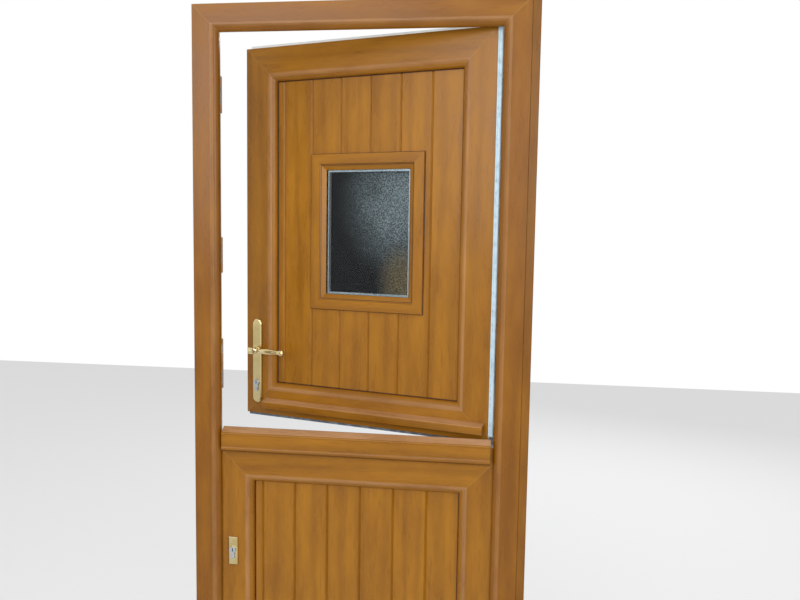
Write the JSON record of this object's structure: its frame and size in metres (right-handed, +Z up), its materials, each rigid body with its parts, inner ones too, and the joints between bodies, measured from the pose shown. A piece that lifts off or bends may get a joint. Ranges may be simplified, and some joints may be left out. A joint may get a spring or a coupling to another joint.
{
  "type": "stable door",
  "caption": "Stable door with an upper and a lower leaf hung separately in a rebated frame, with boarded panels, a small light, a lever handle and bolts.",
  "frame": {"origin": "on the base of the threshold, at the middle of the outer frame and flush with its outside face", "axes": "+X to the right seen from outside, towards the hinges; +Y into the house; +Z up"},
  "size_m": [0.84, 0.3289, 2.06],
  "materials": {
    "oak_foil": "golden oak printed foil on extruded PVC, satin",
    "white_pvc": "smooth satin",
    "gasket": "matt extruded rubber",
    "threshold": "mill, worn",
    "glass": "stippled obscure",
    "spacer": "bright",
    "polished_brass": "polished",
    "nickel": "satin nickel plate",
    "lock_steel": "zinc plated",
    "hinge_white": "white powder coat"
  },
  "bodies": {
    "frame": {"outer_frame": "oak_foil", "frame_extension": "oak_foil", "threshold": "threshold", "frame_gasket": "gasket", "hinge_bases": "hinge_white", "lower_lock_keep": "lock_steel", "upper_lock_keep": "lock_steel", "hook_keeps": "lock_steel"},
    "bottom_leaf": {"lower_sash": "oak_foil", "lower_panel": "oak_foil", "lower_panel_gasket": "gasket", "lower_panel_bead": "white_pvc", "meeting_rail": "oak_foil", "meeting_rail_end_caps": "oak_foil", "meeting_seal": "gasket", "lower_weather_bar": "oak_foil", "lower_hinge_arms": "hinge_white", "lower_lock_case": "lock_steel", "lower_lock_faceplate": "lock_steel", "lower_cylinder": "nickel", "lower_escutcheon_outside": "polished_brass", "lower_escutcheon_inside": "polished_brass", "stable_bolt_keep": "polished_brass"},
    "top_leaf": {"upper_sash": "oak_foil", "upper_panel": "oak_foil", "upper_panel_gasket": "gasket", "upper_panel_bead": "white_pvc", "light_surround_outside": "oak_foil", "light_surround_inside": "white_pvc", "outer_pane": "glass", "inner_pane": "glass", "spacer_bar": "spacer", "upper_weather_bar": "oak_foil", "upper_leaf_seal": "gasket", "upper_hinge_arms": "hinge_white", "upper_lock_case": "lock_steel", "upper_lock_faceplate": "lock_steel", "hook_cases": "lock_steel", "upper_cylinder": "nickel", "handle_plate_outside": "polished_brass", "handle_plate_inside": "polished_brass", "stable_bolt_guide": "polished_brass"},
    "handle": {"lever_outside": "polished_brass", "lever_inside": "polished_brass", "spindle": "lock_steel"},
    "latch": {"latch_bolt": "nickel"},
    "top_key": {"upper_cylinder_plug": "nickel"},
    "top_bolt": {"upper_dead_bolt": "nickel"},
    "upper_hook": {"hook_upper": "lock_steel"},
    "lower_hook": {"hook_lower": "lock_steel"},
    "bottom_key": {"lower_cylinder_plug": "nickel"},
    "bottom_bolt": {"lower_dead_bolt": "nickel"},
    "stable_bolt": {"stable_bolt": "polished_brass"}
  },
  "joints": [
    {"name": "bottom_leaf_hinge", "type": "hinge", "parent": "frame", "child": "bottom_leaf", "pos_m": [0.38, 0.098, 0.5], "axis": [0, 0, -1], "range_deg": [0, 90]},
    {"name": "top_leaf_hinge", "type": "hinge", "parent": "bottom_leaf", "child": "top_leaf", "pos_m": [0.38, 0.098, 1.5], "axis": [0, 0, -1], "range_deg": [-15.5, 74.5]},
    {"name": "handle_turn", "type": "hinge", "parent": "top_leaf", "child": "handle", "pos_m": [-0.30218, 0.24256, 1.185], "axis": [0.2672, 0.9636, 0], "range_deg": [0, 40], "stiffness_Nm_per_rad": 1.5, "springref_deg": -17.19},
    {"name": "latch_slide", "type": "slide", "parent": "top_leaf", "child": "latch", "axis": [0.9636, -0.2672, 0], "range_m": [0, 0.0116]},
    {"name": "top_key_turn", "type": "hinge", "parent": "top_leaf", "child": "top_key", "pos_m": [-0.30218, 0.24256, 1.093], "axis": [-0.2672, -0.9636, 0], "range_deg": [0, 360]},
    {"name": "top_bolt_slide", "type": "slide", "parent": "top_leaf", "child": "top_bolt", "axis": [-0.9636, 0.2672, 0], "range_m": [0, 0.02]},
    {"name": "lower_hook_swing", "type": "hinge", "parent": "top_leaf", "child": "lower_hook", "pos_m": [-0.32097, 0.23843, 1.463], "axis": [0.2672, 0.9636, 0], "range_deg": [0, 90]},
    {"name": "upper_hook_swing", "type": "hinge", "parent": "top_leaf", "child": "upper_hook", "pos_m": [-0.32097, 0.23843, 1.866], "axis": [0.2672, 0.9636, 0], "range_deg": [0, 90]},
    {"name": "bottom_key_turn", "type": "hinge", "parent": "bottom_leaf", "child": "bottom_key", "pos_m": [-0.316, 0.055, 0.69], "axis": [0, -1, 0], "range_deg": [0, 360]},
    {"name": "bottom_bolt_slide", "type": "slide", "parent": "bottom_leaf", "child": "bottom_bolt", "axis": [-1, 0, 0], "range_m": [0, 0.02]},
    {"name": "stable_bolt_slide", "type": "slide", "parent": "top_leaf", "child": "stable_bolt", "axis": [0, 0, -1], "range_m": [0, 0.03]}
  ],
  "couplings": [
    {"joint": "latch_slide", "follows": "handle_turn", "m_per_rad": 0.0166},
    {"joint": "top_bolt_slide", "follows": "top_key_turn", "m_per_rad": 0.0031831},
    {"joint": "upper_hook_swing", "follows": "lower_hook_swing", "ratio": 1},
    {"joint": "bottom_bolt_slide", "follows": "bottom_key_turn", "m_per_rad": 0.0031831}
  ]
}
